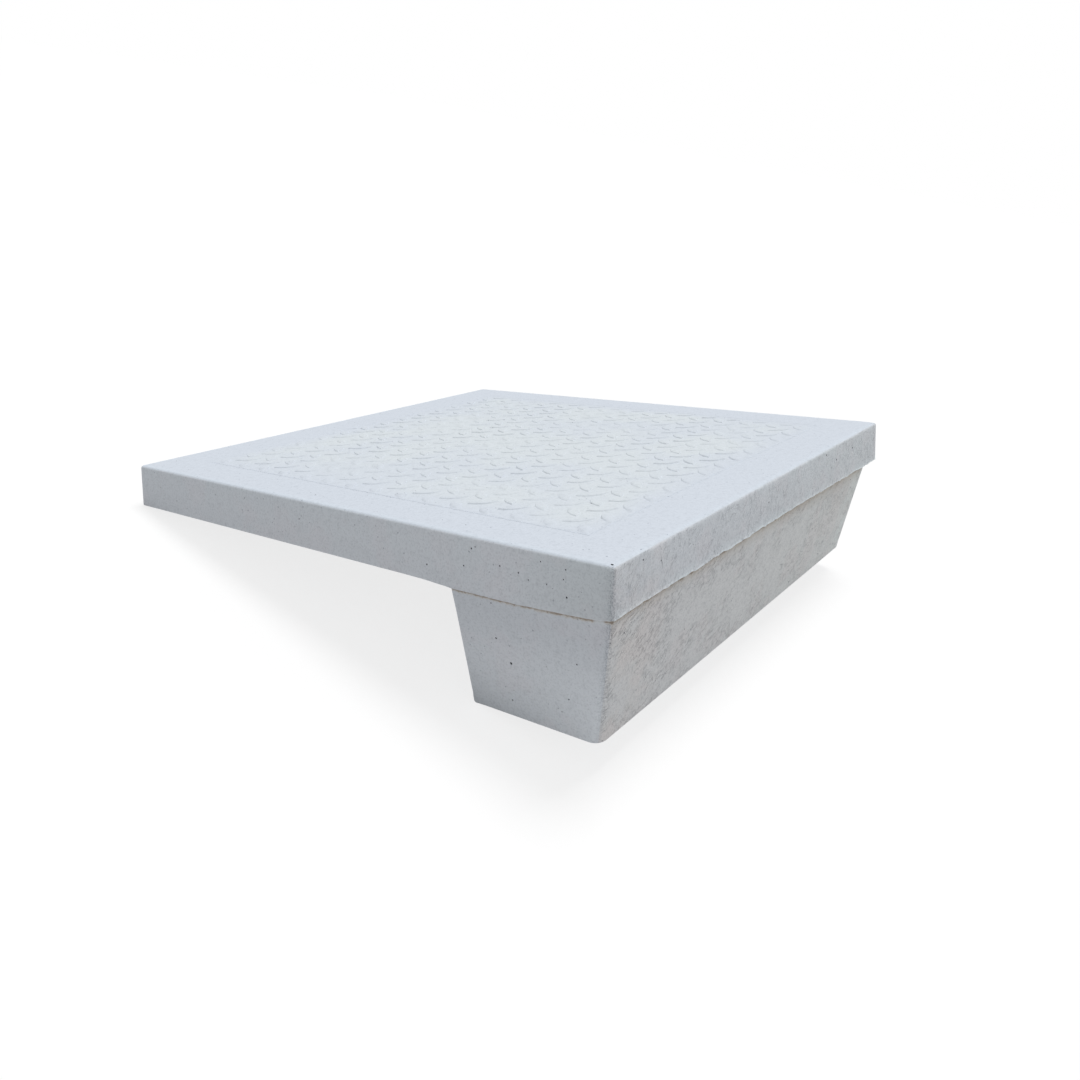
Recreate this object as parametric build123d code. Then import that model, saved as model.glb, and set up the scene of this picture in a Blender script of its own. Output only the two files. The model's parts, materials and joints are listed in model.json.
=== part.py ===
"""Garden step cast in one piece: a near-square tread slab on a tapered riser leg under its front edge.

Lengths are in millimetres, drafts in degrees. The step is drawn level, with X along its width, Y
from the riser side to the back and Z up, and the leg's sole at Z = 0. It is then set down as it
rests unheld: the leg stands under the front edge only, so the step leans back onto the leg's inner
foot edge and the slab's lower back edge. The left end is the one at the low end of X.
"""

from build123d import *
import math
import os

# Tread slab
tread_width = 609.6
tread_depth = 646.0
slab_thickness = 46.5
slab_end_draft = 6.0
slab_front_draft = 1.5

# Riser leg: ledges are measured in from the slab's lower edges, and the casting sits a little askew
rise = 165.1
left_ledge = 2.0
right_ledge = 6.0
riser_ledge_left = 2.0
riser_ledge_right = 10.0
leg_depth = 164.0
leg_end_draft = 7.6
riser_draft = 11.1
leg_back_draft = 1.9

# Lip: over the leg the slab's lower edge rises by this much at the near left corner
lip_rise = 5.0
front_lip_flat = 380.0
front_lip_run = 200.0
end_lip_run = 75.0
lip_overlap = 1.0

# Eased edges
arris_radius = 3.0
slab_corner_radius = 4.0
slab_foot_radius = 1.5
leg_corner_radius_top = 3.0
leg_corner_radius_foot = 11.0
leg_foot_radius = 8.0
cove_radius = 5.0

underside = rise - slab_thickness


def spread(height, draft):
    """How far a face with this draft runs sideways over a height."""
    return height * math.tan(math.radians(draft))


def slab_outline(z):
    """Slab's outline at a height, as x0, x1, y0, y1: its sides widen downwards."""
    ends = tread_width / 2 + spread(rise - z, slab_end_draft)
    front = spread(rise - z, slab_front_draft)
    return -ends, ends, -front, tread_depth + front


def leg_outline(z):
    """Four corners of the leg at a height, from the left front one round: its sides narrow downwards."""
    slab_x0, slab_x1, slab_y0, slab_y1 = slab_outline(underside)
    ends = spread(underside - z, leg_end_draft)
    front = spread(underside - z, riser_draft)
    back = slab_y0 + riser_ledge_left + leg_depth - spread(underside - z, leg_back_draft)
    x0 = slab_x0 + left_ledge + ends
    x1 = slab_x1 - right_ledge - ends
    left_front = slab_y0 + riser_ledge_left + front
    right_front = slab_y0 + riser_ledge_right + front
    return [(x0, left_front), (x1, right_front), (x1, back), (x0, back)]


def flat_sided_block(foot, head):
    """Block between two level rings of corner points, with flat sides."""
    faces = [make_face(Polyline(*ring, close=True)) for ring in (foot, head)]
    for i in range(len(foot)):
        j = (i + 1) % len(foot)
        faces.append(make_face(Polyline(foot[i], foot[j], head[j], head[i], close=True)))
    return Solid(Shell(faces))


def ring_of(outline, z):
    """Corner points of an outline x0, x1, y0, y1 at a height."""
    x0, x1, y0, y1 = outline
    return [(x0, y0, z), (x1, y0, z), (x1, y1, z), (x0, y1, z)]


def edges_between(shape, low, high):
    """Edges that span exactly from one height to another; equal heights give the level edges."""
    found = []
    for edge in shape.edges():
        box = edge.bounding_box()
        if abs(box.min.Z - low) < 0.01 and abs(box.max.Z - high) < 0.01:
            found.append(edge)
    return found


def make_slab():
    """Slab that widens downwards by its mould draft, with eased corners, arris and lower edges."""
    slab = flat_sided_block(ring_of(slab_outline(underside), underside), ring_of(slab_outline(rise), rise))
    slab = fillet(edges_between(slab, underside, rise), slab_corner_radius)
    slab = fillet(edges_between(slab, rise, rise), arris_radius)
    return fillet(edges_between(slab, underside, underside), slab_foot_radius)


def cut_lips(slab):
    """Slab whose lower edge lifts into a lip over the riser face and the left end of the leg."""
    x0, x1, y0, y1 = slab_outline(underside)
    out = slab_foot_radius
    below = underside - out
    top = underside + lip_rise
    flat_end = x0 + front_lip_flat
    slope_end = flat_end + front_lip_run
    front = [(x0 - out, below), (x0 - out, top), (flat_end, top), (slope_end, underside), (slope_end, below)]
    front_depth = riser_ledge_right + 2 * out
    front_cut = extrude(Plane.XZ.offset(out - y0) * make_face(Polyline(*front, close=True)), -front_depth)
    end = [(y0 - out, below), (y0 - out, top), (y0, top), (y0 + end_lip_run, underside), (y0 + end_lip_run, below)]
    end_depth = left_ledge + 2 * out
    end_cut = extrude(Plane.YZ.offset(x0 - out) * make_face(Polyline(*end, close=True)), end_depth)
    return slab - front_cut - end_cut


def rounded_ring(z, radius):
    """Leg's outline at a height as a face with rounded corners."""
    ring = make_face(Polyline(*[(x, y, 0) for x, y in leg_outline(z)], close=True))
    return Pos(0, 0, z) * fillet(ring.vertices(), radius)


def make_leg():
    """Leg that narrows towards its sole; its corners start tight at the lip and round off at the foot."""
    head = rounded_ring(underside + lip_rise + lip_overlap, leg_corner_radius_top)
    leg = loft([rounded_ring(0, leg_corner_radius_foot), head], ruled=True)
    return fillet(edges_between(leg, 0, 0), leg_foot_radius)


def make_cove():
    """Cove that fills the corner between the leg's inner face and the slab's underside."""
    back_right, back_left = leg_outline(underside - cove_radius)[2:]
    back = back_left[1]
    start = (back, underside - cove_radius)
    end = (back + cove_radius, underside)
    centre = (back + cove_radius, underside - cove_radius)
    inner = back - leg_corner_radius_top
    diagonal = cove_radius * math.sqrt(0.5)
    middle = (centre[0] - diagonal, centre[1] + diagonal)
    hollow = ThreePointArc(start, middle, end)
    head = Polyline(end, (end[0], underside + lip_overlap), (inner, underside + lip_overlap), (inner, start[1]), start)
    profile = make_face(Curve() + [hollow, head])
    return extrude(Plane.YZ.offset(back_left[0]) * profile, back_right[0] - back_left[0])


def rounding_centre(corner, level_z, draft, radius):
    """Centre of a rounding between a level face and a drafted back face, in the Y-Z section.

    The corner is the y where the faces would meet; a positive draft leans the face out downwards.
    """
    lean = math.radians(draft)
    return corner - radius * (1 / math.cos(lean) + math.tan(lean)), level_z + radius


def resting_lean():
    """Angle at which the leg's inner foot edge and the slab's lower back edge touch the ground together."""
    slab_back = slab_outline(underside)[3]
    foot_back = leg_outline(0)[2][1]
    y1, z1 = rounding_centre(foot_back, 0.0, -leg_back_draft, leg_foot_radius)
    y2, z2 = rounding_centre(slab_back, underside, slab_front_draft, slab_foot_radius)
    reach = math.hypot(y2 - y1, z2 - z1)
    slope = math.atan2(z2 - z1, y2 - y1)
    return math.degrees(slope - math.asin((slab_foot_radius - leg_foot_radius) / reach))


def set_down(step):
    """The step leaned back onto its two resting edges, over the middle of its own footprint."""
    leaned = step.rotate(Axis.X, -resting_lean())
    box = leaned.bounding_box()
    return Pos(-(box.min.X + box.max.X) / 2, -(box.min.Y + box.max.Y) / 2, -box.min.Z) * leaned


step = set_down(cut_lips(make_slab()) + make_leg() + make_cove())
os.makedirs("parts", exist_ok=True)
export_step(step, "parts/garden_step.step")
box = step.bounding_box()
print("lean", round(resting_lean(), 3), "volume", round(step.volume))
print("box", [round(v, 3) for v in (*box.min, *box.max)])
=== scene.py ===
"""Garden step of cast concrete, dressed in its frame: a near-square tread slab on a tapered riser leg.

The casting is modelled level, in metres, with X along its width, Y from the riser side to the back and
the leg's sole at Z = 0. It is then set down as the frame stores it, leaned back on its two resting
edges. The camera and the lamps are placed level too and turn with the step.
"""

import json
import logging
import math
import random
from dataclasses import dataclass, field
from enum import Enum
from typing import Any, Callable, Iterable

import bmesh
import bpy
from mathutils import Matrix, Vector, noise
from mathutils.kdtree import KDTree


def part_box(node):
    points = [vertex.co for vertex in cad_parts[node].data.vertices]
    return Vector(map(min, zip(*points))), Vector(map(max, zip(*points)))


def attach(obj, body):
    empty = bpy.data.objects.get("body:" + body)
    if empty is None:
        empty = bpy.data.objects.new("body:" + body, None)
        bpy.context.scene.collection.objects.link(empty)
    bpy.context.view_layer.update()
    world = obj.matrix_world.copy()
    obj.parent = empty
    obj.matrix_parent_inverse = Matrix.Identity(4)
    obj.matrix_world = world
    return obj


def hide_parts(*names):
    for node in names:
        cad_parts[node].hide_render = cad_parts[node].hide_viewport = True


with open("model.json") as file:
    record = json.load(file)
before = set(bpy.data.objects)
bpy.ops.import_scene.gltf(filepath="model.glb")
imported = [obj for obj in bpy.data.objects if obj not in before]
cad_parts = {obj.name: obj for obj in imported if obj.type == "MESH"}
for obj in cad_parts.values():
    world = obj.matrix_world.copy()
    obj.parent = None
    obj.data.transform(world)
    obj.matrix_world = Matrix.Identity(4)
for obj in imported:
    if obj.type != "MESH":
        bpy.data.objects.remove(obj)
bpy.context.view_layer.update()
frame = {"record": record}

NODE = "garden_step"
PIECE = "cast_step"
BODY = "root"
Triple = tuple[float, float, float]
MM = 0.001
TINY = 1e-6
LEVEL = 0.9
CAP_CORNERS = 100
FACING = 0.7
SMOOTH_ANGLE = 32.0

log = logging.getLogger("garden_step")


class Part(Enum):
    """What a selection in edit mode is made of."""

    VERT = "VERT"
    EDGE = "EDGE"
    FACE = "FACE"


class Side(Enum):
    """Sides of the slab or the leg, each with its two corners as (at the left, at the front)."""

    RISER = ((True, True), (False, True))
    LEFT_END = ((True, True), (True, False))
    RIGHT_END = ((False, True), (False, False))
    BACK = ((True, False), (False, False))


class LugLean(Enum):
    """Which way a lug of the tread pattern lies, as a turn about Z in degrees."""

    FORE = 45.0
    BACK = -45.0


def stored_lean() -> float:
    """Angle in radians by which the stored step leans back, from its sole's axis in the frame."""
    sole = frame["record"]["mounts"][0]["axis"]
    return math.atan2(-sole[1], -sole[2])


def spread(height: float, draft: float) -> float:
    """How far a face with a draft in degrees runs sideways over a height."""
    return height * math.tan(math.radians(draft))


def smooth_step(low: float, high: float, value: float) -> float:
    """Eases from 0 at the low value to 1 at the high one."""
    t = min(max((value - low) / (high - low), 0.0), 1.0)
    return t * t * (3.0 - 2.0 * t)


def blend(start: float, end: float, share: float) -> float:
    """Value part of the way from one number to another; a share outside 0 to 1 is held to it."""
    return start + (end - start) * min(max(share, 0.0), 1.0)


def ripple(along: float, wave: float, seed: float) -> float:
    """Irregular wave along an edge.

    Args:
        along: Distance along the edge.
        wave: Length of its main wave.
        seed: Picks one wave out of many.

    Returns:
        A number from about -1 to 1.
    """
    total = 0.0
    for octave, weight in ((1.0, 0.5), (2.1, 0.3), (4.7, 0.2)):
        total += weight * noise.noise(Vector((along / wave * octave, seed, 3.7 * octave)))
    return 2.0 * total


class Workpiece:
    """A mesh object that is shaped in edit mode with Blender's own operators."""

    def __init__(self, name: str) -> None:
        """Takes over the active object, just added, under a new name."""
        self.obj = bpy.context.object
        self.obj.name = name
        self.obj.data.name = name

    @staticmethod
    def deselect_all() -> None:
        """Leaves object mode with nothing selected."""
        if bpy.context.object and bpy.context.object.mode != "OBJECT":
            bpy.ops.object.mode_set(mode="OBJECT")
        bpy.ops.object.select_all(action="DESELECT")

    def activate(self) -> None:
        """Makes this piece the only selected and active object."""
        self.deselect_all()
        self.obj.select_set(True)
        bpy.context.view_layer.objects.active = self.obj

    def edit(self) -> None:
        """Enters edit mode on this piece alone."""
        self.activate()
        bpy.ops.object.mode_set(mode="EDIT")

    def leave(self) -> None:
        """Goes back to object mode."""
        bpy.ops.object.mode_set(mode="OBJECT")

    def apply_place(self) -> None:
        """Writes the object's place, turn and scale into its mesh."""
        self.activate()
        bpy.ops.object.transform_apply(location=True, rotation=True, scale=True)

    def select(self, part: Part, test: Callable[[Any], bool]) -> None:
        """Selects elements in edit mode by a test on each of them.

        Args:
            part: Whether vertices, edges or faces are tested.
            test: Says whether a bmesh element is wanted.
        """
        bpy.ops.mesh.select_mode(type=part.value)
        bpy.ops.mesh.select_all(action="DESELECT")
        mesh = bmesh.from_edit_mesh(self.obj.data)
        pool = {Part.VERT: mesh.verts, Part.EDGE: mesh.edges, Part.FACE: mesh.faces}[part]
        for element in pool:
            if test(element):
                element.select_set(True)
        mesh.select_flush_mode()
        bmesh.update_edit_mesh(self.obj.data)

    def select_all(self) -> None:
        """Selects the whole mesh in edit mode."""
        bpy.ops.mesh.select_mode(type="VERT")
        bpy.ops.mesh.select_all(action="SELECT")

    def select_cap(self, sign: int) -> None:
        """Selects the large level face that faces up (1) or down (-1)."""
        self.select(Part.FACE, lambda f: f.normal.z * sign > LEVEL and len(f.verts) > CAP_CORNERS)

    def take_caps_off(self) -> None:
        """Removes the level faces and leaves the sides."""
        self.select(Part.FACE, lambda f: abs(f.normal.z) > LEVEL)
        bpy.ops.mesh.delete(type="ONLY_FACE")

    def face_outwards(self) -> None:
        """Turns every face outwards."""
        self.select_all()
        bpy.ops.mesh.normals_make_consistent(inside=False)

    def cut(self, point: Vector, normal: Vector, clear_outer: bool = False) -> None:
        """Bisects the whole mesh with a plane.

        Args:
            point: A point on the plane.
            normal: The plane's normal.
            clear_outer: Whether what lies on the normal's side is removed.
        """
        self.select_all()
        bpy.ops.mesh.bisect(plane_co=point, plane_no=normal, clear_outer=clear_outer, threshold=TINY)

    def sculpt(self, move: Callable[[Vector], Vector]) -> None:
        """Moves every vertex by a function of its place, in object mode."""
        for vertex in self.obj.data.vertices:
            vertex.co = move(vertex.co)

    def mark(self, name: str, measure: Callable[[Vector], float]) -> None:
        """Stores a number for every vertex, measured from its place, as a named attribute."""
        layer = self.obj.data.attributes.new(name, "FLOAT", "POINT")
        layer.data.foreach_set("value", [measure(v.co) for v in self.obj.data.vertices])

    def apply_modifier(self, kind: str, **settings: Any) -> None:
        """Adds a modifier with its settings and applies it."""
        self.activate()
        modifier = self.obj.modifiers.new(kind.title(), kind)
        for key, value in settings.items():
            setattr(modifier, key, value)
        bpy.ops.object.modifier_apply(modifier=modifier.name)

    def combine(self, other: "Workpiece", operation: str, solver: str = "EXACT") -> None:
        """Boolean operation with another piece, which is used up."""
        self.apply_modifier("BOOLEAN", object=other.obj, operation=operation, solver=solver)
        other.discard()

    def join(self, others: Iterable["Workpiece"]) -> None:
        """Takes other pieces into this object's mesh."""
        self.activate()
        for other in others:
            other.obj.select_set(True)
        bpy.ops.object.join()

    def copy(self) -> "Workpiece":
        """Copies the piece with a mesh of its own."""
        self.activate()
        bpy.ops.object.duplicate(linked=False)
        return Workpiece(self.obj.name + "_copy")

    def discard(self) -> None:
        """Removes the object and its mesh."""
        mesh = self.obj.data
        bpy.data.objects.remove(self.obj)
        bpy.data.meshes.remove(mesh)


def resize(x: float, y: float, z: float, centre: Vector) -> None:
    """Scales the selection about a point."""
    bpy.ops.transform.resize(value=(x, y, z), center_override=centre)


def translate(x: float, y: float, z: float) -> None:
    """Moves the selection."""
    bpy.ops.transform.translate(value=(x, y, z))


def extrude(height: float = 0.0) -> None:
    """Extrudes the selected faces upwards, or in place, ready to be resized."""
    bpy.ops.mesh.extrude_region_move(TRANSFORM_OT_translate={"value": (0, 0, height)})


def bevel(offset: float, segments: int, profile: float = 0.5) -> None:
    """Rounds the selected edges; a low profile makes a hollow."""
    shape = {"offset": offset, "segments": segments, "profile": profile}
    bpy.ops.mesh.bevel(**shape, affect="EDGES", clamp_overlap=False)


@dataclass(frozen=True)
class Outline:
    """Rectangle with rounded corners, seen from above and centred on X = 0."""

    half_x: float
    half_y: float
    centre_y: float
    radius: float

    def inset(self, x: float, y: float) -> tuple[float, Vector]:
        """How far inside the outline a place lies, and which way is straight out from there."""
        along = y - self.centre_y
        past_x = abs(x) - self.half_x + self.radius
        past_y = abs(along) - self.half_y + self.radius
        if past_x > 0 and past_y > 0:
            reach = math.hypot(past_x, past_y)
            out = Vector((math.copysign(past_x, x), math.copysign(past_y, along), 0)) / reach
            return self.radius - reach, out
        if past_x > past_y:
            return self.radius - past_x, Vector((math.copysign(1.0, x), 0, 0))
        return self.radius - past_y, Vector((0, math.copysign(1.0, along), 0))


@dataclass
class Slab:
    """Tread slab: its sides widen downwards, and its lower edge lifts into a ragged lip over the leg."""

    width: float = 609.6 * MM
    depth: float = 646.0 * MM
    thickness: float = 46.5 * MM
    rise: float = 165.1 * MM
    end_draft: float = 6.0
    front_draft: float = 1.5
    corner_radius: float = 4.0 * MM
    arris_radius: float = 3.0 * MM
    foot_radius: float = 1.5 * MM
    strip: float = 3.5 * MM
    riser_strip: float = 1.6 * MM
    support: float = 1.0 * MM
    rim: float = 5.0 * MM
    lip_left: float = 4.8 * MM
    lip_middle: float = 3.0 * MM
    lip_middle_at: float = 366.0 * MM
    lip_right: float = -1.2 * MM
    end_lip_front: float = 2.9 * MM
    end_lip_middle: float = -1.7 * MM
    end_lip_middle_at: float = 95.0 * MM
    end_lip_back: float = -2.5 * MM
    lip_turn: float = 20.0 * MM
    leg_depth: float = 164.0 * MM
    lift_fade: tuple[float, float] = (3.0 * MM, 22.0 * MM)
    ragged_fade: tuple[float, float] = (1.0 * MM, 6.5 * MM)
    burr_fade: tuple[float, float] = (0.4 * MM, 3.0 * MM)
    end_raggedness: float = 0.4
    sag: float = 1.4 * MM
    sag_run: float = 30.0 * MM
    droop: float = 0.9 * MM
    droop_run: float = 440.0 * MM
    burr_run: float = 3.0 * MM
    ledge_reach: float = 14.0 * MM
    ledge_end: float = 30.0 * MM
    lip_sharpness: float = 0.5
    lip_wave: float = 4.5 * MM
    lip_ripple: float = 1.1 * MM
    lip_burr: float = 0.9 * MM
    reach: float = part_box(NODE)[1].x
    arris_wave: float = 34.0 * MM
    arris_wear: float = 0.8 * MM
    plain_wear: float = 0.25

    @property
    def underside(self) -> float:
        """Height of the slab's underside over the sole."""
        return self.rise - self.thickness

    @property
    def flare(self) -> tuple[float, float]:
        """How far the lower edge stands out past the upper one, at the ends and at the front and back."""
        return spread(self.thickness, self.end_draft), spread(self.thickness, self.front_draft)

    def outline(self, z: float) -> Outline:
        """The slab's outline at a height."""
        out_x = spread(self.rise - z, self.end_draft)
        out_y = spread(self.rise - z, self.front_draft)
        return Outline(self.width / 2 + out_x, self.depth / 2 + out_y, self.depth / 2, self.corner_radius)

    def corner(self, left: bool, front: bool, z: float) -> Vector:
        """One corner of the slab's outline at a height, as if it were sharp."""
        outline = self.outline(z)
        x = -outline.half_x if left else outline.half_x
        y = outline.centre_y + (-outline.half_y if front else outline.half_y)
        return Vector((x, y, z))

    def riser_lift(self, from_left: float) -> float:
        """How far the lip over the riser face is lifted, at a distance from the left end."""
        if from_left < self.lip_middle_at:
            return blend(self.lip_left, self.lip_middle, from_left / self.lip_middle_at)
        run = self.width - self.lip_middle_at
        return blend(self.lip_middle, self.lip_right, (from_left - self.lip_middle_at) / run)

    def end_lift(self, from_front: float) -> float:
        """How far the lip over the leg's left end is lifted; beyond the leg it sags and comes back."""
        beyond = from_front - self.leg_depth
        if beyond < 0:
            middle_at = self.end_lip_middle_at
            if from_front < middle_at:
                return blend(self.end_lip_front, self.end_lip_middle, from_front / middle_at)
            share = (from_front - middle_at) / (self.leg_depth - middle_at)
            return blend(self.end_lip_middle, self.end_lip_back, share)
        burr = (self.end_lip_back + self.sag + self.droop) * (1.0 - min(beyond / self.burr_run, 1.0))
        droop = self.droop * (1.0 - min(beyond / self.droop_run, 1.0))
        return burr - droop - self.sag * (1.0 - min(beyond / self.sag_run, 1.0))

    def near_side(self, distance: float) -> float:
        """1 within the ledge over the leg, 0 further in from the side."""
        return 1.0 - smooth_step(self.ledge_reach, self.ledge_end, distance)

    def lip_lift(self, x: float, y: float) -> float:
        """How far the lower edge is lifted at a place near the riser side or the left end."""
        foot = self.outline(self.underside)
        from_left = x + foot.half_x
        from_front = y - foot.centre_y + foot.half_y
        front = self.riser_lift(from_left) * self.near_side(from_front)
        end = self.end_lift(from_front) * self.near_side(from_left)
        return blend(front, end, smooth_step(0.0, self.lip_turn, from_front - from_left))

    def lip_ragged(self, x: float, y: float) -> float:
        """Ragged part of the lower edge's height: strong on the riser side, faint elsewhere."""
        riser = self.near_side(y)
        left = self.near_side(x + self.width / 2)
        along = x if riser >= left else y
        left *= 1.0 - smooth_step(self.leg_depth, self.leg_depth + self.sag_run, y)
        weight = max(riser, self.end_raggedness * left)
        return self.lip_ripple * weight * ripple(along, self.lip_wave, 5.3)

    def lip_height(self, x: float, y: float) -> float:
        """Height of the slab's lower edge at a place on the riser side or the left end."""
        return self.underside + self.lip_lift(x, y) + self.lip_ragged(x, y)

    def build(self) -> Workpiece:
        """Block, flared, with eased corners and edges, in narrow strips round its sides."""
        centre = Vector((0, self.depth / 2, self.rise - self.thickness / 2))
        Workpiece.deselect_all()
        size = (self.width, self.depth, self.thickness)
        bpy.ops.mesh.primitive_cube_add(size=1, location=centre, scale=size)
        slab = Workpiece("slab")
        slab.apply_place()
        slab.edit()
        self.flare_foot(slab)
        self.round_corners(slab)
        self.cut_strips(slab)
        self.ease_edges(slab)
        slab.leave()
        slab.sculpt(self.weather)
        return slab

    def flare_foot(self, slab: Workpiece) -> None:
        """Spreads the lower face by the drafts of the sides."""
        out_x, out_y = self.flare
        slab.select(Part.FACE, lambda f: f.normal.z < -LEVEL)
        foot = Vector((0, self.depth / 2, self.underside))
        resize(1 + 2 * out_x / self.width, 1 + 2 * out_y / self.depth, 1, foot)

    def round_corners(self, slab: Workpiece) -> None:
        """Bevels the four standing edges."""
        slab.select(Part.EDGE, lambda e: abs(e.verts[0].co.z - e.verts[1].co.z) > self.thickness / 2)
        bevel(self.corner_radius, 5)

    def cut_strips(self, slab: Workpiece) -> None:
        """Takes the caps off, cuts the four sides into narrow strips and caps them again."""
        slab.take_caps_off()
        near = 2 * self.corner_radius
        for on_riser, strip in ((True, self.riser_strip), (False, self.strip)):
            slab.select(
                Part.EDGE,
                lambda e: e.is_boundary
                and e.calc_length() > self.width / 2
                and all(v.co.y < near for v in e.verts) == on_riser,
            )
            bpy.ops.mesh.subdivide(number_cuts=round(self.width / strip))
        for height in (self.rise, self.underside):
            slab.select(Part.EDGE, lambda e: e.is_boundary and abs(e.verts[0].co.z - height) < TINY)
            bpy.ops.mesh.edge_face_add()

    def ease_edges(self, slab: Workpiece) -> None:
        """Rounds the upper and lower edges, with narrow support rows beside them."""
        edges = ((self.rise, self.arris_radius, 5), (self.underside, self.foot_radius, 3))
        for height, radius, segments in edges:
            slab.select(Part.EDGE, lambda e: all(abs(v.co.z - height) < TINY for v in e.verts))
            bevel(radius, segments)
        slab.face_outwards()
        foot_end = self.underside + self.foot_radius
        heights = [self.rise - self.arris_radius - self.support]
        heights += [foot_end + rows * self.support for rows in (1, 4, 12)]
        for height in heights:
            slab.cut(Vector((0, 0, height)), Vector((0, 0, 1)))
        self.ring_cap(slab, 1, self.rise, (self.rim,))
        self.ring_cap(slab, -1, self.underside, (self.ledge_reach, self.ledge_end - self.ledge_reach))

    def ring_cap(self, slab: Workpiece, sign: int, height: float, reaches: tuple[float, ...]) -> None:
        """Lays a support row and wider rings inside the upper (1) or lower (-1) cap."""
        centre = Vector((0, self.depth / 2, height))
        slab.select_cap(sign)
        bpy.ops.mesh.inset(thickness=self.support)
        for reach in reaches:
            extrude()
            resize(1 - reach / (self.width / 2), 1 - reach / (self.depth / 2), 1, centre)

    def weather(self, place: Vector) -> Vector:
        """Where a vertex of the smooth slab ends up: lifted into a sharper lip, worn along the arris."""
        lipped = self.lift_lip(place)
        return lipped + self.wear_arris(place)

    def lift_lip(self, place: Vector) -> Vector:
        """Lifts the lower edge into the lip and tightens its rounding over the leg."""
        inset, out = self.outline(self.underside).inset(place.x, place.y)
        height = place.z - self.underside
        moved = place.copy()
        if height < self.foot_radius + TINY and inset < self.foot_radius + TINY:
            tight = 1.0 - smooth_step(self.leg_depth, self.leg_depth + 2 * self.sag_run, place.y)
            factor = 1.0 - self.lip_sharpness * tight
            moved += out * inset * (1.0 - factor)
            moved.z = self.underside + height * factor
        moved.z += self.lip_lift(place.x, place.y) * (1.0 - smooth_step(*self.lift_fade, height))
        moved.z += self.lip_ragged(place.x, place.y) * (1.0 - smooth_step(*self.ragged_fade, height))
        if out.y < -FACING and inset < 2 * self.foot_radius:
            burr = self.lip_burr * (0.5 + 0.5 * ripple(place.x, self.lip_wave, 8.8))
            moved.y -= max(burr, 0.0) * (1.0 - smooth_step(*self.burr_fade, height))
        moved.x = min(max(moved.x, -self.reach), self.reach)
        return moved

    def wear_arris(self, place: Vector) -> Vector:
        """How far the worn arris lies inside the fresh one at a vertex: most on the riser side."""
        inset, out = self.outline(place.z).inset(place.x, place.y)
        reach = math.hypot(inset, self.rise - place.z)
        near = 1.0 - smooth_step(self.arris_radius * 0.5, self.arris_radius * 2.2, reach)
        if near <= 0.0:
            return Vector((0, 0, 0))
        riser = 1.0 - smooth_step(2 * self.arris_radius, 5 * self.arris_radius, place.y)
        along = place.x if abs(out.y) > abs(out.x) else place.y
        uneven = 0.5 + 0.5 * ripple(along, self.arris_wave, 9.1) + 0.25 * ripple(along, self.lip_wave, 2.7)
        wear = self.arris_wear * blend(self.plain_wear, 1.0, riser) * max(uneven, 0.0) * near
        return Vector((-out.x * wear, -out.y * wear, -0.5 * wear))


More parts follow.
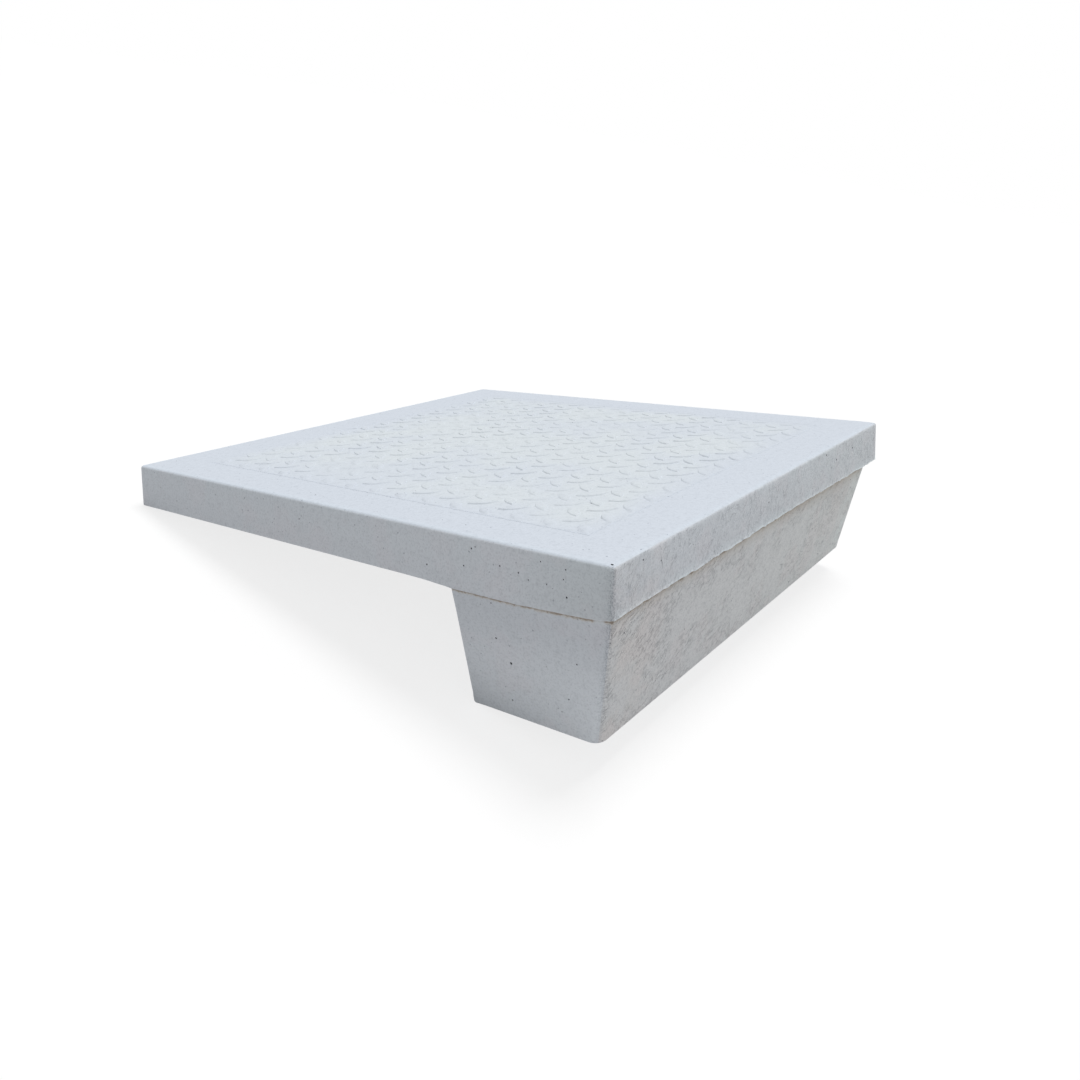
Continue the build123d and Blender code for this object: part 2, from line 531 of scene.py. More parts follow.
@dataclass
class Leg:
    """Riser leg: drafted all round and a little askew, tight at its head and rounded at its foot."""

    slab: Slab
    left_ledge: float = 2.0 * MM
    right_ledge: float = 6.0 * MM
    riser_ledge_left: float = 2.0 * MM
    riser_ledge_right: float = 10.0 * MM
    end_draft: float = 7.6
    riser_draft: float = 11.1
    back_draft: float = 1.9
    head_corner: float = 3.0 * MM
    foot_corner: float = 11.0 * MM
    foot_bevel: float = 7.74 * MM
    cove: float = 5.0 * MM
    cove_profile: float = 0.0858
    overlap: float = 1.0 * MM
    end_cove: float = 6.0 * MM
    strip: float = 6.0 * MM
    riser_strip: float = 2.6 * MM
    stain_and_shade_rows: int = 15
    row: float = 1.25 * MM
    foot_radius: float = 8.0 * MM
    foot_sharpness: float = 0.75
    heel_sharpness: float = 0.6
    heel_fade: tuple[float, float] = (-3.0 * MM, 1.0 * MM)
    clearance: float = 0.2 * MM
    crumble: float = 1.2 * MM
    crumble_reach: float = 20.0 * MM
    crumble_grain: float = 6.0 * MM
    crumble_way: Triple = (-0.75, 0.55, 0.35)

    @property
    def depth(self) -> float:
        """Depth of the leg's head."""
        return self.slab.leg_depth

    def corner(self, left: bool, front: bool, z: float) -> Vector:
        """One corner point of the leg's outline at a height."""
        out_x, out_y = self.slab.flare
        down = self.slab.underside - z
        side = self.slab.width / 2 + out_x - spread(down, self.end_draft)
        x = -side + self.left_ledge if left else side - self.right_ledge
        if front:
            ledge = self.riser_ledge_left if left else self.riser_ledge_right
            y = -out_y + ledge + spread(down, self.riser_draft)
        else:
            y = -out_y + self.riser_ledge_left + self.depth - spread(down, self.back_draft)
        return Vector((x, y, z))

    def build(self) -> Workpiece:
        """Outline at the head, drawn down to the sole, with its foot rounded and its cove added."""
        head = self.slab.underside + self.slab.lip_left + self.overlap
        Workpiece.deselect_all()
        bpy.ops.mesh.primitive_plane_add(size=1, location=(0, self.depth / 2, head))
        leg = Workpiece("leg")
        leg.apply_place()
        leg.edit()
        corners = [(left, front) for left in (True, False) for front in (True, False)]
        for left, front in corners:
            self.move_corner(leg, left, front, head)
        self.draw_down(leg, corners, head)
        self.cut_strips(leg)
        self.round_foot(leg)
        self.cut_rows(leg)
        leg.leave()
        leg.sculpt(self.weather)
        low = self.slab.underside - self.cove
        end = self.corner(True, False, low) + Vector((2 * self.foot_corner, 0, 0))
        back = self.build_cove(self.corner(False, False, low), end, self.cove)
        leg.combine(back, "UNION")
        low = self.slab.underside - self.end_cove
        start = self.corner(False, True, low) + Vector((0, self.head_corner, 0))
        leg.combine(self.build_cove(start, self.corner(False, False, low), self.end_cove), "UNION")
        return leg

    def move_corner(self, leg: Workpiece, left: bool, front: bool, head: float) -> None:
        """Takes a corner of the starting square to its place in the leg's outline."""
        goal = self.corner(left, front, head)
        middle = self.depth / 2
        moved: list[Vector] = []

        def is_corner(vertex: Any) -> bool:
            """Whether the vertex is the square's corner in this quarter."""
            found = (vertex.co.x < 0) == left and (vertex.co.y < middle) == front
            if found:
                moved.append(goal - vertex.co)
            return found

        leg.select(Part.VERT, is_corner)
        translate(*moved[0])

    def draw_down(self, leg: Workpiece, corners: list[tuple[bool, bool]], head: float) -> None:
        """Rounds the outline's corners, extrudes it to the sole and opens the corners out there."""
        leg.select_all()
        bpy.ops.mesh.bevel(offset=self.head_corner, segments=6, profile=0.5, affect="VERTICES")
        bpy.ops.mesh.select_all(action="SELECT")
        extrude(-head)
        near = 3 * self.head_corner
        for left, front in corners:
            above = self.corner(left, front, head)
            below = self.corner(left, front, 0.0)
            mark = Vector((above.x, above.y, 0.0))
            leg.select(Part.VERT, lambda v: (v.co - mark).length < near)
            translate(*(below - mark))
            factor = self.foot_corner / self.head_corner
            resize(factor, factor, 1, below)
        leg.face_outwards()

    def cut_strips(self, leg: Workpiece) -> None:
        """Takes the caps off, cuts the sides into strips and caps them again."""
        leg.take_caps_off()
        half = self.depth / 2
        sides = ((True, True, self.riser_strip), (False, True, self.strip), (False, False, self.strip))
        for on_riser, long, strip in sides:
            leg.select(
                Part.EDGE,
                lambda e: e.is_boundary
                and e.calc_length() > half
                and (e.calc_length() > 2 * self.depth) == long
                and all(v.co.y < half for v in e.verts) == on_riser,
            )
            bpy.ops.mesh.subdivide(number_cuts=round((self.slab.width if long else self.depth) / strip))
        for side in (1, -1):
            middle = self.slab.underside / 2
            leg.select(Part.EDGE, lambda e: e.is_boundary and (e.verts[0].co.z - middle) * side > 0)
            bpy.ops.mesh.edge_face_add()

    def round_foot(self, leg: Workpiece) -> None:
        """Bevels the edge round the sole, with a narrow support row inside it."""
        leg.face_outwards()
        leg.select(Part.EDGE, lambda e: all(abs(v.co.z) < TINY for v in e.verts))
        bevel(self.foot_bevel, 7)
        leg.select_cap(-1)
        bpy.ops.mesh.inset(thickness=self.slab.support)

    def cut_rows(self, leg: Workpiece) -> None:
        """Level rows: one above the rounded foot, and several below the lip, which carry its stain and
        painted shade.
        """
        heights = [self.foot_bevel + 1.5 * self.slab.support]
        top = self.slab.underside + self.slab.lip_left
        heights += [top - i * self.row for i in range(self.stain_and_shade_rows)]
        heights += [top - (self.stain_and_shade_rows + more) * self.row for more in (2, 5, 9)]
        for height in heights:
            leg.cut(Vector((0, 0, height)), Vector((0, 0, 1)))

    def build_cove(self, start: Vector, end: Vector, radius: float) -> Workpiece:
        """Hollow fillet between a side of the leg and the slab's underside.

        Args:
            start: Where it starts on the side, one radius below the underside.
            end: Where it ends there; out of the leg is to the right of the way from start to end.
            radius: The hollow's radius.

        Returns:
            The fillet, with a root inside the leg and the slab.
        """
        run = end - start
        reach = radius + 3 * self.overlap
        height = radius + self.overlap
        Workpiece.deselect_all()
        bpy.ops.mesh.primitive_cube_add(size=1, location=(0, 0, 0), scale=(run.length, reach, height))
        cove = Workpiece("cove")
        cove.apply_place()
        cove.edit()
        cove.select(Part.EDGE, lambda e: all(v.co.y < 0 and v.co.z < 0 for v in e.verts))
        bevel(radius, 6, self.cove_profile)
        cove.leave()
        across = Vector((run.y, -run.x, 0)).normalized()
        cove.obj.rotation_euler = (0, 0, math.atan2(run.y, run.x))
        cove.obj.location = (start + end) / 2 + across * (radius - reach / 2) + Vector((0, 0, height / 2))
        cove.apply_place()
        return cove

    def foot_edge(self, place: Vector) -> Vector:
        """Nearest point to a place on the sharp edge round the sole, with the corners rounded."""
        left, right = self.corner(True, True, 0.0), self.corner(False, True, 0.0)
        front = blend(left.y, right.y, (place.x - left.x) / (right.x - left.x))
        centre_x, half = (left.x + right.x) / 2, (right.x - left.x) / 2
        radius = self.foot_corner
        past_x = abs(place.x - centre_x) - half + radius
        past_y = front + radius - place.y
        side = 1.0 if place.x > centre_x else -1.0
        if past_x > 0 and past_y > 0:
            stretch = radius / max(math.hypot(past_x, past_y), TINY)
            x = centre_x + side * (half - radius + past_x * stretch)
            return Vector((x, front + radius - past_y * stretch, 0))
        if past_x > past_y:
            return Vector((centre_x + side * half, place.y, self.ground(place.y)))
        return Vector((place.x, front, 0))

    def ground(self, y: float) -> float:
        """Lowest height allowed at a place's y: over the floor on which the leaned step rests."""
        lean = stored_lean()
        touch = self.corner(True, False, 0.0).y - self.foot_radius * (1.0 - math.sin(lean))
        floor = (y - touch) * math.tan(lean) + self.foot_radius * (1.0 - math.cos(lean))
        return max(0.0, floor + self.clearance)

    def sharpen_foot(self, place: Vector) -> Vector:
        """Where a vertex of the rounded foot goes: the rounding stays full only at the inner edge."""
        edge = self.foot_edge(place)
        if place.z > self.foot_bevel + TINY or (place - edge).length > 1.3 * self.foot_bevel:
            return place.copy()
        heel = self.corner(True, False, 0.0)
        nearer_back = abs(place.x - edge.x) - (heel.y - place.y)
        return place.lerp(edge, self.foot_sharpness * (1.0 - smooth_step(*self.heel_fade, nearer_back)))

    def sharpen_heel(self, place: Vector, left: bool, front: bool) -> Vector:
        """Where a vertex of a rounded standing edge goes that stays tight down to the foot."""
        corner = self.corner(left, front, place.z)
        down = 1.0 - place.z / self.slab.underside
        radius = blend(self.head_corner, self.foot_corner, down) + 0.3 * MM
        if abs(place.x - corner.x) > radius or abs(place.y - corner.y) > radius:
            return place.copy()
        return place.lerp(corner, self.heel_sharpness * min(max(down, 0.0), 1.0))

    def weather(self, place: Vector) -> Vector:
        """Where a vertex of the fresh leg ends up: edges tighter, and the far foot corner crumbled."""
        moved = self.sharpen_heel(self.sharpen_foot(place), True, False)
        moved = self.sharpen_heel(moved, False, True)
        foot = self.corner(False, True, 0.0)
        near = 1.0 - smooth_step(0.3 * self.crumble_reach, self.crumble_reach, (place - foot).length)
        if near <= 0.0:
            return moved
        rough = 0.5 + 0.8 * noise.noise(place / self.crumble_grain)
        return moved + Vector(self.crumble_way) * self.crumble * near * max(rough, 0.0)


@dataclass
class TreadPanel:
    """Raised treadplate pattern: lens-shaped lugs that lie both ways on a square lattice."""

    slab: Slab
    pitch: float = 35.9 * MM
    first_x: float = 82.1 * MM
    first_y: float = 410.9 * MM
    lug_length: float = 30.0 * MM
    lug_width: float = 12.0 * MM
    lug_height: float = 1.05 * MM
    flank_share: float = 0.84
    flank: float = 1.15 * MM
    crown: float = 2.5 * MM
    tip_run: float = 1.6
    fade: float = 7.0 * MM
    lug_wear: float = 0.5
    wear_wave: float = 75.0 * MM
    cell_half_width: float = 8.4 * MM
    side_border: float = 53.0 * MM
    front_border: float = 58.0 * MM
    groove: float = 0.9 * MM
    groove_depth: float = 0.14 * MM
    ridge: float = 0.9 * MM
    ridge_height: float = 0.18 * MM
    merge_reach: float = 0.3 * MM
    rows: int = 17
    start_pitches: tuple[int, int] = (2, 10)

    @property
    def half_x(self) -> float:
        """Half the panel's width, inside its border."""
        return self.slab.width / 2 - self.side_border

    @property
    def half_y(self) -> float:
        """Half the panel's depth, inside its border."""
        return self.slab.depth / 2 - self.front_border

    @property
    def cell_half_length(self) -> float:
        """Half the length of a lug's cell: cells of both kinds meet without a gap."""
        return self.pitch / math.sqrt(2) - self.cell_half_width

    def build_lug(self) -> Workpiece:
        """One lug in its cell, lying along X: a lens drawn up in two steps, and the ground round it."""
        Workpiece.deselect_all()
        bpy.ops.mesh.primitive_circle_add(vertices=12, radius=0.5, fill_type="NGON")
        lug = Workpiece("lug")
        lug.obj.scale = (self.lug_length, self.lug_width, 1)
        lug.apply_place()
        lug.edit()
        origin = Vector((0, 0, 0))
        for share, pinch in ((0.866, 0.5), (0.5, 0.866)):
            reach = share * self.lug_length / 2
            lug.select(Part.VERT, lambda v: abs(abs(v.co.x) - reach) < 0.5 * MM)
            resize(1, pinch, 1, origin)
        lug.select(Part.FACE, lambda f: True)
        half_x, half_y = self.lug_length / 2, self.lug_width / 2
        for step, share in ((self.flank, self.flank_share), (self.crown, 1 - self.flank_share)):
            extrude(share * self.lug_height)
            shrink = self.tip_run * step
            resize(1 - shrink / half_x, 1 - step / half_y, 1, origin)
            half_x, half_y = half_x - shrink, half_y - step
        lug.select(Part.FACE, lambda f: all(abs(v.co.z) < TINY for v in f.verts))
        bpy.ops.mesh.delete(type="ONLY_FACE")
        lug.leave()
        lug.join([self.build_cell()])
        lug.edit()
        lug.select(Part.EDGE, lambda e: len(e.link_faces) < 2)
        bpy.ops.mesh.bridge_edge_loops()
        lug.face_outwards()
        lug.select(Part.FACE, lambda f: f.normal.z < 0)
        bpy.ops.mesh.flip_normals()
        lug.leave()
        return lug

    def build_cell(self) -> Workpiece:
        """Outline of a lug's cell, with points where the neighbouring cells' corners meet it."""
        bpy.ops.mesh.primitive_plane_add(size=2)
        cell = Workpiece("cell")
        cell.obj.scale = (self.cell_half_length, self.cell_half_width, 1)
        cell.apply_place()
        cell.edit()
        cell.select(Part.FACE, lambda f: True)
        bpy.ops.mesh.delete(type="ONLY_FACE")
        for side in (-1, 1):
            cell.cut(Vector((side * self.cell_half_width, 0, 0)), Vector((1, 0, 0)))
        cell.leave()
        return cell

    def lay_lugs(self, lug: Workpiece, lean: LugLean) -> Workpiece:
        """Turns a copy of the lug and repeats it over the whole panel.

        Args:
            lug: The lug in its cell.
            lean: Which way the copies lie.

        Returns:
            One mesh with all the lugs that lie this way.
        """
        half = 0.5 * self.pitch if lean is LugLean.FORE else 0.0
        x0 = -self.slab.width / 2 + self.first_x - self.start_pitches[0] * self.pitch + half
        y0 = self.first_y - self.start_pitches[1] * self.pitch - half
        rows = lug.copy()
        rows.obj.name = f"lugs_{lean.name.lower()}"
        rows.obj.rotation_euler = (0, 0, math.radians(lean.value))
        rows.obj.location = (x0, y0, self.slab.rise)
        rows.apply_place()
        for offset in ((self.pitch, 0, 0), (0, self.pitch, 0)):
            rows.apply_modifier(
                "ARRAY",
                count=self.rows,
                use_relative_offset=False,
                use_constant_offset=True,
                constant_offset_displace=offset,
            )
        return rows

    def build(self) -> Workpiece:
        """The whole panel, trimmed to its border, with the fine groove and ridge that run round it."""
        lug = self.build_lug()
        panel = self.lay_lugs(lug, LugLean.BACK)
        panel.join([self.lay_lugs(lug, LugLean.FORE)])
        lug.discard()
        panel.edit()
        panel.select_all()
        bpy.ops.mesh.remove_doubles(threshold=0.02 * MM)
        bpy.ops.mesh.fill_holes(sides=4)
        centre = Vector((0, self.slab.depth / 2, self.slab.rise))
        for axis, half in ((Vector((1, 0, 0)), self.half_x), (Vector((0, 1, 0)), self.half_y)):
            for side in (-1, 1):
                panel.cut(centre + axis * half * side, axis * side, clear_outer=True)
        panel.select_all()
        bpy.ops.mesh.remove_doubles(threshold=0.01 * MM)
        panel.select(Part.VERT, lambda v: v.is_boundary)
        bpy.ops.mesh.remove_doubles(threshold=self.merge_reach)
        self.draw_border(panel, centre)
        panel.leave()
        panel.sculpt(self.fade_out)
        return panel

    def fade_out(self, place: Vector) -> Vector:
        """Where a vertex of the panel ends up: lugs are worn unevenly and sink in at the panel's edge."""
        edge = Outline(self.half_x, self.half_y, self.slab.depth / 2, TINY)
        inset, _ = edge.inset(place.x, place.y)
        if inset < -10 * TINY or place.z < self.slab.rise:
            return place.copy()
        wear = 1.0 + self.lug_wear * noise.noise(Vector((place.x, place.y, 0.0)) / self.wear_wave)
        height = (place.z - self.slab.rise) * smooth_step(0.0, self.fade, inset) * wear
        return Vector((place.x, place.y, self.slab.rise + height))

    def draw_border(self, panel: Workpiece, centre: Vector) -> None:
        """Extrudes the panel's trimmed edge through a groove and a ridge to the plain tread.

        Args:
            panel: The panel, in edit mode.
            centre: The panel's centre on the tread.
        """
        panel.select(Part.EDGE, lambda e: e.is_boundary)
        steps = (
            (0.0, -self.groove_depth),
            (0.5 * self.groove, -self.groove_depth),
            (0.5 * self.groove, 0.0),
            (0.3 * self.ridge, self.ridge_height),
            (0.4 * self.ridge, self.ridge_height),
            (0.3 * self.ridge, 0.0),
        )
        out, last = 0.0, 0.0
        for step, height in steps:
            bpy.ops.mesh.extrude_edges_move(TRANSFORM_OT_translate={"value": (0, 0, 0)})
            if out == 0.0:
                resize(1, 1, 0, Vector((centre.x, centre.y, self.slab.rise + height)))
            else:
                translate(0, 0, height - last)
            x_factor = (self.half_x + out + step) / (self.half_x + out)
            y_factor = (self.half_y + out + step) / (self.half_y + out)
            resize(x_factor, y_factor, 1, centre)
            out += step
            last = height


@dataclass(frozen=True)
class AirHole:
    """A small round void that opens in a face."""

    place: Vector
    radius: float
    normal: Vector


@dataclass
class AirHoles:
    """Air holes of the casting: some known ones, and others scattered over its sides."""

    slab: Slab
    leg: Leg
    seed: int = 11
    smallest: float = 0.35 * MM
    largest: float = 1.0 * MM
    depth: float = 0.3
    margin: float = 9.0 * MM
    slab_density: float = 700.0
    leg_density: float = 350.0
    border_count: int = 26
    spacing: float = 2.4
    corner_chip: Triple = (-300.0 * MM, 4.6 * MM, 164.0 * MM)
    chip_radius: float = 1.5 * MM
    holes: list[AirHole] = field(default_factory=list)

    def side_point(self, body: Slab | Leg, side: Side, share: float, z: float) -> Vector:
        """A point on a side of the slab or the leg, part of the way from its first corner to its second."""
        first, second = side.value
        return body.corner(*first, z).lerp(body.corner(*second, z), share)

    def add(self, body: Slab | Leg, side: Side, along: float, z: float, radius: float) -> None:
        """Notes one hole, its middle a little below the surface.

        Args:
            body: The slab or the leg.
            side: Which of its sides.
            along: Distance from the side's first corner.
            z: Height over the sole.
            radius: The hole's radius.
        """
        run = self.side_point(body, side, 1.0, z) - self.side_point(body, side, 0.0, z)
        length = run.length
        place = self.side_point(body, side, along / length, z)
        middle = (body.corner(True, True, z) + body.corner(False, False, z)) / 2
        rise = self.side_point(body, side, along / length, z + self.margin) - place
        normal = run.cross(rise).normalized()
        if normal.dot(place - middle) < 0:
            normal.negate()
        self.holes.append(AirHole(place - normal * radius * self.depth, radius, normal))

    def note_known(self) -> None:
        """Notes the holes that stand out: distance along, height and radius in millimetres."""
        known = (
            (self.leg, Side.LEFT_END, ((94, 56, 1.4), (117, 111, 0.7), (28, 75, 0.8), (33, 38, 0.8))),
            (self.leg, Side.LEFT_END, ((39, 23, 0.6),)),
            (self.slab, Side.LEFT_END, ((147, 139, 0.8), (108, 146, 0.8), (89, 144, 0.8), (79, 140, 0.6))),
            (self.slab, Side.LEFT_END, ((67, 157, 0.6), (43, 155, 0.7), (45, 147, 0.6), (61, 140, 0.6))),
            (self.slab, Side.RISER, ((470, 147, 1.3), (523, 150, 1.3), (436, 159, 1.1), (282, 144, 1.0))),
            (self.leg, Side.RISER, ((562, 101, 1.2), (570, 88, 1.2), (572, 23, 1.3), (554, 13, 1.2))),
            (self.leg, Side.RISER, ((492, 33, 1.3), (430, 42, 1.1), (497, 17, 1.4), (449, 66, 1.1))),
            (self.leg, Side.RISER, ((364, 47, 1.0), (405, 10, 1.1), (21, 104, 0.9))),
        )
        for body, side, spots in known:
            for along, z, radius in spots:
                self.add(body, side, along * MM, z * MM, radius * MM)

    def scatter(self) -> None:
        """Notes small holes at random over every side."""
        chance = random.Random(self.seed)
        low_slab = self.slab.underside + self.slab.lip_left + 2 * MM
        high_slab = self.slab.rise - 2 * self.slab.arris_radius
        bands = (
            (self.slab, low_slab, high_slab, self.slab_density),
            (self.leg, 2 * self.leg.foot_bevel, self.slab.underside - self.margin, self.leg_density),
        )
        for side in Side:
            for body, low, high, density in bands:
                first, second = side.value
                length = (body.corner(*second, low) - body.corner(*first, low)).length
                for _ in range(round(length * (high - low) * density)):
                    along = chance.uniform(2 * self.margin, length - 2 * self.margin)
                    size = self.random_radius(chance)
                    self.add(body, side, along, chance.uniform(low, high), size)
        up = Vector((0, 0, 1))
        for _ in range(self.border_count):
            place = self.border_place(chance)
            radius = self.random_radius(chance)
            self.holes.append(AirHole(place - up * radius * self.depth, radius, up))
        self.holes.append(AirHole(Vector(self.corner_chip), self.chip_radius, up))

    def random_radius(self, chance: random.Random) -> float:
        """A hole's radius: mostly small, seldom large."""
        return blend(self.smallest, self.largest, chance.random() ** 3)

    def border_place(self, chance: random.Random) -> Vector:
        """A random place on the plain border of the tread."""
        border = chance.uniform(2 * self.margin, 4.5 * self.margin)
        side = chance.choice((-1, 1))
        if chance.random() < 0.5:
            y = chance.uniform(2 * self.margin, self.slab.depth - 2 * self.margin)
            return Vector((side * (self.slab.width / 2 - border), y, self.slab.rise))
        x = chance.uniform(-0.46, 0.46) * self.slab.width
        y = border if side < 0 else self.slab.depth - border
        return Vector((x, y, self.slab.rise))

    def keep_apart(self) -> None:
        """Drops the holes that would touch one noted before them."""
        kept: list[AirHole] = []
        for hole in self.holes:
            gaps = ((hole.place - other.place).length / (hole.radius + other.radius) for other in kept)
            if all(gap > self.spacing for gap in gaps):
                kept.append(hole)
        self.holes = kept

    def build(self) -> Workpiece:
        """All the voids as one mesh, to be taken out of the casting."""
        self.note_known()
        self.scatter()
        self.keep_apart()
        Workpiece.deselect_all()
        bpy.ops.mesh.primitive_ico_sphere_add(subdivisions=2, radius=1, location=(0, 0, 0))
        void = Workpiece("void")
        copies = []
        for hole in self.holes:
            copy = void.copy()
            copy.obj.location = hole.place
            copy.obj.scale = (hole.radius,) * 3
            copies.append(copy)
        void.discard()
        copies[0].join(copies[1:])
        copies[0].apply_place()
        return copies[0]

    def find(self) -> Callable[[Vector], float]:
        """A measure that is 1 at a vertex inside a hole and 0 on a face or a hole's rim."""
        tree = KDTree(len(self.holes))
        for index, hole in enumerate(self.holes):
            tree.insert(hole.place, index)
        tree.balance()

        def measure(place: Vector) -> float:
            """Tells a void's own vertices: one radius from its middle, and below its rim."""
            middle, index, distance = tree.find(place)
            hole = self.holes[index]
            outward = (place - middle).dot(hole.normal) / hole.radius
            on_void = abs(distance / hole.radius - 1.0) < 0.004
            return 1.0 if on_void and outward < 0.6 * self.depth else 0.0

        return measure


@dataclass
class CastStep:
    """The whole casting: slab, leg, tread pattern and air holes in one closed mesh."""

    slab: Slab = field(default_factory=Slab)
    hidden_share: float = 0.83
    end_core: float = 1.15 * MM
    riser_core: float = 0.35 * MM
    riser_stain_and_shade: tuple[float, float] = (3.2 * MM, 9.0 * MM)
    end_stain_and_shade: float = 1.8 * MM
    clear: float = 3.0
    far_above: float = 100.0
    edge_reach: float = 6.0 * MM
    rim_merge: float = 0.6 * MM

    def build(self) -> Workpiece:
        """Builds the parts level and makes one piece of them."""
        slab = self.slab.build()
        log.info("slab: %d faces", len(slab.obj.data.polygons))
        panel = TreadPanel(self.slab).build()
        log.info("tread panel: %d faces", len(panel.obj.data.polygons))
        self.fit_panel(slab, panel)
        leg = Leg(self.slab)
        block = leg.build()
        log.info("leg: %d faces", len(block.obj.data.polygons))
        slab.combine(block, "UNION")
        holes = AirHoles(self.slab, leg)
        slab.combine(holes.build(), "DIFFERENCE", "MANIFOLD")
        log.info("air holes: %d", len(holes.holes))
        slab.obj.name = PIECE
        slab.obj.data.name = PIECE
        self.mark_surface(slab, leg, holes)
        log.info("casting: %d faces", len(slab.obj.data.polygons))
        return slab

    def fit_panel(self, slab: Workpiece, panel: Workpiece) -> None:
        """Takes the slab's upper cap off and fills the plain border between its rim and the panel."""
        slab.edit()
        slab.select_cap(1)
        bpy.ops.mesh.delete(type="ONLY_FACE")
        slab.select(Part.VERT, lambda v: v.is_boundary)
        bpy.ops.mesh.remove_doubles(threshold=self.rim_merge)
        slab.leave()
        slab.join([panel])
        slab.edit()
        slab.select(Part.EDGE, lambda e: e.is_boundary)
        bpy.ops.mesh.fill(use_beauty=True)
        slab.face_outwards()
        slab.leave()

    def mark_surface(self, step: Workpiece, leg: Leg, holes: AirHoles) -> None:
        """Stores what the finish needs to know about each vertex."""
        step.mark("pit", holes.find())
        step.mark("stain_and_shade", lambda place: self.measure_stain_and_shade(place, leg))
        step.mark("above_lip", self.measure_above)
        step.mark("arris", self.measure_arris)
        step.mark("upright", lambda place: self.measure_upright(place, leg))

    def measure_stain_and_shade(self, place: Vector, leg: Leg) -> float:
        """Stain and painted shade under the lip: below 0 in its dark core, 0 to 1 over its tan fringe, more
        where clean.
        """
        slab = self.slab
        below = slab.lip_height(place.x, place.y) - place.z
        inset, out = slab.outline(slab.underside).inset(place.x, place.y)
        on_riser, on_end = out.y < -FACING, out.x < -FACING
        outside = below < -0.5 * MM or inset < slab.foot_radius * 0.6 or place.y > leg.depth
        if outside or not (on_riser or on_end):
            return self.clear
        if on_end:
            core = self.hidden_share * 0.6 * leg.left_ledge + self.end_core
            return min((below - core) / self.end_stain_and_shade, self.clear)
        along = (place.x + slab.width / 2) / slab.width
        ledge = blend(leg.riser_ledge_left, leg.riser_ledge_right, along)
        core = self.hidden_share * ledge + self.riser_core
        return min((below - core) / blend(*self.riser_stain_and_shade, along), self.clear)

    def measure_above(self, place: Vector) -> float:
        """Height over the lip on the slab's riser side, in millimetres."""
        slab = self.slab
        inset, out = slab.outline(place.z).inset(place.x, place.y)
        if inset > slab.foot_radius or out.y > -FACING or place.z < slab.underside - slab.foot_radius:
            return self.far_above
        return (place.z - slab.lip_height(place.x, place.y)) / MM

    def measure_arris(self, place: Vector) -> float:
        """Nearness to the slab's upper edge, from 0 to 1."""
        inset, _ = self.slab.outline(place.z).inset(place.x, place.y)
        reach = math.hypot(max(inset, 0.0), self.slab.rise - place.z)
        return 1.0 - smooth_step(self.slab.arris_radius * 0.5, self.slab.arris_radius * 3.0, reach)

    def measure_upright(self, place: Vector, leg: Leg) -> float:
        """Nearness to the standing edge at the near left corner, from 0 to 1."""
        body = self.slab if place.z > self.slab.lip_height(place.x, place.y) - 1 * MM else leg
        corner = body.corner(True, True, place.z)
        return 1.0 - smooth_step(0.25 * self.edge_reach, self.edge_reach, (place - corner).length)

    def set_down(self, step: Workpiece, place: Matrix) -> None:
        """Leans the level casting back as the frame stores it, and keeps it inside the frame's box."""
        step.obj.matrix_world = place
        step.apply_place()
        low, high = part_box(NODE)
        step.sculpt(lambda v: Vector((v.x, min(max(v.y, low.y), high.y), min(v.z, high.z))))


def level_to_rest(points: Iterable[Vector]) -> Matrix:
    """The move that takes the level step to where the frame stores it.

    The lean comes from the stored sole's axis. The box's middle comes to X = 0 and Y = 0 and its
    lowest point to the floor.

    Args:
        points: The level casting's vertices.

    Returns:
        The whole move as a matrix.
    """
    turn = Matrix.Rotation(-stored_lean(), 4, "X")
    turned = [turn @ p for p in points]
    low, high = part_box(NODE)
    back = max(p.y for p in turned)
    lowest = min(p.z for p in turned)
    return Matrix.Translation((0, high.y - back, low.z - lowest)) @ turn


class Signal:
    """A value in a material's nodes; arithmetic on it adds the nodes that work it out."""

    def __init__(self, board: "Board", socket: Any) -> None:
        """Wraps an output socket of a node on a board."""
        self.board = board
        self.socket = socket

    def __add__(self, other: Any) -> "Signal":
        """Sum with a number or another signal."""
        return self.board.math("ADD", self, other)

    def __radd__(self, other: Any) -> "Signal":
        """Sum with a number in front."""
        return self.board.math("ADD", other, self)

    def __sub__(self, other: Any) -> "Signal":
        """Difference with a number or another signal."""
        return self.board.math("SUBTRACT", self, other)

    def __rsub__(self, other: Any) -> "Signal":
        """Difference from a number in front."""
        return self.board.math("SUBTRACT", other, self)

    def __mul__(self, other: Any) -> "Signal":
        """Product with a number or another signal."""
        return self.board.math("MULTIPLY", self, other)

    def __rmul__(self, other: Any) -> "Signal":
        """Product with a number in front."""
        return self.board.math("MULTIPLY", other, self)

    def ramp(self, low: float, high: float) -> "Signal":
        """Eases from 0 at the low value to 1 at the high one; falls where low is the greater."""
        start, end, first, last = (low, high, 0.0, 1.0) if low < high else (high, low, 1.0, 0.0)
        inputs = {"Value": self, "From Min": start, "From Max": end, "To Min": first, "To Max": last}
        return self.board.node("ShaderNodeMapRange", {"interpolation_type": "SMOOTHSTEP"}, inputs, "Result")

    def within(self, rise: float, top: float, top_end: float, end: float) -> "Signal":
        """Eases up to 1 from the first value to the second and down again from the third to the last."""
        return self.ramp(rise, top) * self.ramp(end, top_end)


